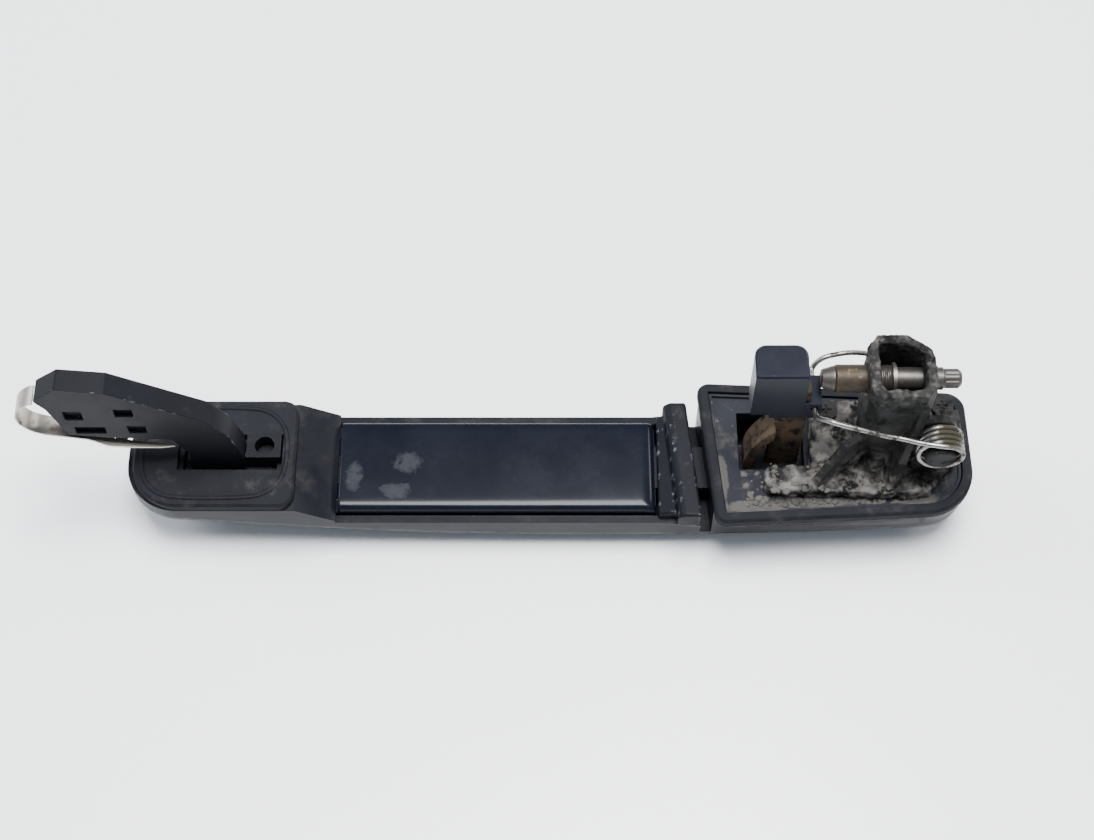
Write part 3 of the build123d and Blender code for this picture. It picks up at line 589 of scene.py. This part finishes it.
plate_low, plate_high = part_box("rear_plate")
foot_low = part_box("rear_bracket")[0]
mesh = bmesh.new()
for index in range(crumb_count):
    size = (0.25 + 0.75 * spread(index, 0) ** 2) * MM
    x = plate_low[0] + 8 * MM + (plate_high[0] - plate_low[0] - 12 * MM) * spread(index, 1)
    if index % 2:
        y = foot_low[1] - 1.6 * MM + 2.4 * MM * spread(index, 2)
    else:
        y = foot_low[1] + 12 * MM * spread(index, 2)
    inside_opening = opening_left < x < opening_right and y > opening_near
    past_corner = x > corner_x and y < corner_y
    if inside_opening or past_corner:
        continue
    on_casting = y > foot_low[1] + 0.4 * MM and x > casting_left
    base = cake_on_casting if on_casting else cake_on_plate
    made = bmesh.ops.create_icosphere(mesh, subdivisions=2, radius=size)
    for vert in made["verts"]:
        push = 1 + 0.5 * noise.fractal(vert.co * 1500.0 + Vector((index, 0, 0)), 1.0, 2.0, 3)
        lump = Vector((vert.co.x * push, vert.co.y * push, vert.co.z * push * 0.55))
        vert.co = Vector((x, y, base)) + lump
smooth_faces(mesh, radians(80))
crumbs = as_piece(mesh, "packed_dirt")
dirt_cake = used_material("packed_dirt", (0.085, 0.08, 0.073), (0.04, 0.038, 0.034), 0.95, 2400.0, 0.2 * MM)
give(crumbs, dirt_cake)
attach(crumbs, "grip")

# ---------------------------------------------------------------- fixing screw
# Turned steel: a fat body, a short thread, a plain shank and a fluted end for the key, with a
# tapered nose and a ring on it. The body has rusted brown; the rest is oily dark.
turned_profile = [
    (-5.9, 0.0), (-5.9, 1.45), (-3.77, 1.45), (-3.77, 3.2), (-3.5, 3.45), (4.4, 3.45), (4.8, 3.3),
    (9.9, 3.3), (10.0, 2.8), (22.4, 2.8), (22.7, 2.4), (26.2, 2.4), (27.0, 1.7), (27.1, 0.0),
]
spin_steps = 72
fine_step = 0.14
thread_from, thread_to, thread_pitch, thread_depth = 4.9, 9.8, 0.95, 0.28
flute_from, flute_to, flute_count, flute_depth = 22.9, 26.4, 8, 0.3
core_radius = 1.5 * MM
pit_depth = 0.05

mesh = bmesh.new()
chain = []
for (x0, r0), (x1, r1) in zip(turned_profile, turned_profile[1:]):
    pieces = max(1, round(abs(x1 - x0) / fine_step))
    chain += [(x0 + (x1 - x0) * k / pieces, r0 + (r1 - r0) * k / pieces) for k in range(pieces)]
chain.append(turned_profile[-1])
verts = [mesh.verts.new((x * MM, screw_y, screw_z + r * MM)) for x, r in chain]
edges = [mesh.edges.new(pair) for pair in zip(verts, verts[1:])]
bmesh.ops.spin(mesh, geom=verts + edges, cent=(0, screw_y, screw_z), axis=(1, 0, 0), angle=2 * pi,
               steps=spin_steps, use_merge=True)
bmesh.ops.remove_doubles(mesh, verts=mesh.verts, dist=0.002 * MM)
for vert in mesh.verts:
    x = vert.co.x / MM
    spoke = Vector((0, vert.co.y - screw_y, vert.co.z - screw_z))
    if spoke.length < core_radius:
        continue
    turn = Vector((spoke.y, spoke.z)).angle_signed(Vector((1, 0))) / (2 * pi)
    cut = 0.0
    if thread_from < x < thread_to:
        phase = (x / thread_pitch - turn) % 1.0
        cut = thread_depth * (1 - abs(2 * phase - 1)) - thread_depth / 2
    elif flute_from < x < flute_to:
        cut = -flute_depth * max(0.0, cos(turn * 2 * pi * flute_count))
    pitting = pit_depth * noise.fractal(vert.co * 900.0, 1.0, 2.0, 4) if x < thread_from else 0.0
    vert.co += spoke.normalized() * (cut + min(0.0, pitting)) * MM
bmesh.ops.recalc_face_normals(mesh, faces=mesh.faces)
smooth_faces(mesh, radians(50))
spindle = as_piece(mesh, "screw_spindle_turned")
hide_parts("fixing_screw")
rusty_steel = used_material("rusty_steel", (0.05, 0.042, 0.033), (0.028, 0.025, 0.022), 0.5, 1900.0,
                            0.06 * MM, metallic=0.6)
add_dirt(rusty_steel, (0.075, 0.048, 0.026), 230.0, 0.46, 0.66, facing=0.2, roughness=0.8)
add_dirt(rusty_steel, (0.16, 0.125, 0.075), 500.0, 0.58, 0.72, facing=0.8, roughness=0.7)
dark_steel = used_material("dark_steel", (0.09, 0.083, 0.078), (0.05, 0.045, 0.042), 0.42, 2200.0, 0.03 * MM,
                           metallic=0.8)
add_dirt(dark_steel, (0.15, 0.11, 0.075), 420.0, 0.56, 0.7, facing=0.0)
spindle.data.materials.append(rusty_steel)
spindle.data.materials.append(dark_steel)
for face in spindle.data.polygons:
    face.material_index = 1 if face.center.x > thread_from * MM else 0
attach(spindle, "screw_spindle")
nose = eased_copy("screw_nose", "screw_nose_cone", 0.4 * MM, 3)
give(nose, dark_steel)
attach(nose, "screw_end")


def give_node(node, mat):
    """Put a material on every slot of a CAD node."""
    for holder in frame["nodes"][node].material_slots:
        holder.material = mat


ring_steel = used_material("ring_steel", (0.2, 0.19, 0.175), (0.12, 0.11, 0.1), 0.4, 2200.0, 0.03 * MM,
                           metallic=0.9)
give_node("screw_ring", ring_steel)

# ---------------------------------------------------------------- return spring
# One length of bright spring wire: a coil on the casting's stud, an arm to the near side of the
# pusher head, and a second arm that crosses over and reaches the head from the far side. The
# coil has corroded dull.
coil_centre = Vector((22.3, 0.0, 17.5)) * MM
coil_radius = 5.35 * MM
coil_front = -11.2 * MM
coil_pitch = 1.36 * MM
coil_turns = 4.5
coil_slack = 1.02
points_per_turn = 16
wire_radius = 0.65 * MM
front_arm = [(-8.3, 1.6, 21.8), (-8.3, -1.0, 21.8), (-8.0, -3.0, 22.4), (-5.2, -5.2, 24.8),
             (-3.2, -5.9, 24.6), (4.4, -7.3, 23.4), (9.0, -7.8, 21.9), (12.4, -8.2, 21.7),
             (17.0, -10.2, 22.7)]
rear_arm = [(20.2, -4.9, 12.15), (19.4, -4.2, 12.15), (19.4, 0.0, 12.15), (19.4, 12.0, 12.15),
            (19.0, 14.6, 12.6), (12.0, 15.0, 20.5), (3.0, 14.8, 24.9), (-4.2, 13.6, 24.8),
            (-6.6, 12.8, 24.0), (-8.3, 11.8, 21.8), (-8.3, 10.0, 21.8), (-8.3, 7.6, 21.8)]
coil = []
reach = coil_radius * coil_slack
for step in range(int(points_per_turn * coil_turns) + 1):
    angle = 2 * pi * step / points_per_turn
    coil.append(coil_centre + Vector((reach * sin(angle), 0, reach * cos(angle))))
    coil[-1].y = coil_front + coil_pitch * step / points_per_turn
wire_line = [Vector(p) * MM for p in front_arm] + coil + [Vector(p) * MM for p in rear_arm]
spring = tube("return_spring_wire", wire_line, wire_radius)
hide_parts("return_spring")
bright_wire = used_material("spring_wire", (0.25, 0.245, 0.235), (0.15, 0.142, 0.13), 0.34, 2600.0,
                            0.01 * MM, metallic=1.0)
add_dirt(bright_wire, (0.06, 0.053, 0.045), 420.0, 0.5, 0.64, facing=0.0)
corroded = place_group(bright_wire, blotch_group, X=24 * MM, Y=-8 * MM, Half_Width=4.5 * MM,
                       Half_Height=4.5 * MM, Ragged=1.6)
lay_over(bright_wire, corroded.outputs["Mask"], (0.075, 0.07, 0.052), 0.85)
give(spring, bright_wire)
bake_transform(spring)
stud = eased_copy("spring_pin", "spring_stud", 0.5 * MM, 3)
give(stud, zinc)
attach(stud, "grip")

# ---------------------------------------------------------------- lever and pusher head
# A pressed steel lever carries a glossy moulded head that moves the lock's release lever. Its
# stem has rusted brown, and its strip under the flap is coloured black as painted shade of the dark trench
# it lies in.
lever = eased_copy("trigger_lever", "rusty_lever", 0.3 * MM)
stem_rust = used_material("stem_rust", (0.085, 0.058, 0.036), (0.035, 0.028, 0.022), 0.7, 1500.0, 0.1 * MM,
                          metallic=0.3)
add_dirt(stem_rust, (0.013, 0.012, 0.011), 320.0, 0.48, 0.62, facing=0.0)
give(lever, stem_rust)
lever.data.materials.append(black_plastic)
shaded_strip_top = -6.0 * MM
# Faces wholly below the flap's top take the black moulding's colour: painted shade of the trench, not the
# steel's own colour.
for face in lever.data.polygons:
    face.material_index = 1 if max(lever.data.vertices[i].co.z for i in face.vertices) < shaded_strip_top else 0
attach(lever, "trigger")
head = eased_copy("pusher_head", "pusher_moulding", 0.6 * MM, 3)
head_gloss = used_material("head_gloss", (0.0055, 0.0065, 0.0115), (0.008, 0.0095, 0.0155), 0.33, 800.0,
                           0.01 * MM, coat=0.05)
add_worn_edges(head_gloss, (0.05, 0.056, 0.075), 0.3)
add_dirt(head_gloss, (0.03, 0.029, 0.029), 500.0, 0.62, 0.78, facing=0.4)
give(head, head_gloss)
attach(head, "trigger")

# ---------------------------------------------------------------- small fastenings and stops
# Plated front screws, rivets and pivot pin, natural plastic bushes and rubber stops. The two
# screws that hold the casting down wear the casting's own dirty finish.
plated = used_material("plated_steel", (0.36, 0.35, 0.32), (0.24, 0.22, 0.19), 0.4, 2400.0, 0.02 * MM,
                       metallic=0.9)
add_dirt(plated, (0.12, 0.09, 0.06), 500.0, 0.55, 0.68, facing=0.2)
bush_plastic = used_material("bush_plastic", (0.5, 0.47, 0.4), (0.42, 0.39, 0.32), 0.5, 1500.0, 0.02 * MM)
for node in ("front_screws", "lever_rivets", "pivot_pin"):
    give_node(node, plated)
give_node("bracket_screws", zinc)
give_node("pivot_bushes", bush_plastic)
for node in ("pull_buffers", "rest_pad"):
    give_node(node, rubber)

# ---------------------------------------------------------------- table, light and camera
# A glossy pale table under soft studio light, seen from the front and well above.
floor_half = 2.5
mesh = bmesh.new()
bmesh.ops.create_grid(mesh, x_segments=1, y_segments=1, size=floor_half)
bmesh.ops.translate(mesh, verts=mesh.verts, vec=(0, 0, cad_box[0][2]))
table = as_piece(mesh, "table")
table_top = bpy.data.materials.new("table_top")
table_top.use_nodes = True
table_shader = table_top.node_tree.nodes["Principled BSDF"]
table_shader.inputs["Base Color"].default_value = (0.88, 0.89, 0.9, 1.0)
table_shader.inputs["Roughness"].default_value = 0.28
table.data.materials.append(table_top)

aim = Vector((-73.8, 9.5, 0.0)) * MM


def soft_light(name, place, size, watts, colour=(1.0, 1.0, 1.0)):
    """A square softbox that faces the object."""
    lamp = bpy.data.lights.new(name, "AREA")
    lamp.shape = "SQUARE"
    lamp.size = size
    lamp.energy = watts
    lamp.color = colour
    holder = bpy.data.objects.new(name, lamp)
    holder.location = place
    holder.rotation_euler = (Vector(place) - aim).to_track_quat("Z", "Y").to_euler()
    bpy.context.scene.collection.objects.link(holder)


soft_light("overhead", (0.0, 0.05, 1.35), 0.7, 58.0)
soft_light("left", (-1.2, 0.4, 0.8), 0.6, 12.0, (0.9, 0.95, 1.0))
soft_light("right", (1.1, 0.7, 0.7), 0.4, 7.0, (1.0, 0.98, 0.95))

world = bpy.data.worlds.new("studio")
world.use_nodes = True
world.node_tree.nodes["Background"].inputs["Color"].default_value = (0.62, 0.68, 0.78, 1.0)
world.node_tree.nodes["Background"].inputs["Strength"].default_value = 0.68
bpy.context.scene.world = world

elevation = radians(60)
distance = 520 * MM
camera_data = bpy.data.cameras.new("camera")
camera_data.sensor_width = 36.0
camera_data.lens = 66.7
camera_data.clip_start = 0.01
camera = bpy.data.objects.new("camera", camera_data)
camera.location = aim + Vector((0, -cos(elevation), sin(elevation))) * distance
camera.rotation_euler = (pi / 2 - elevation, 0, 0)
bpy.context.scene.collection.objects.link(camera)
bpy.context.scene.camera = camera
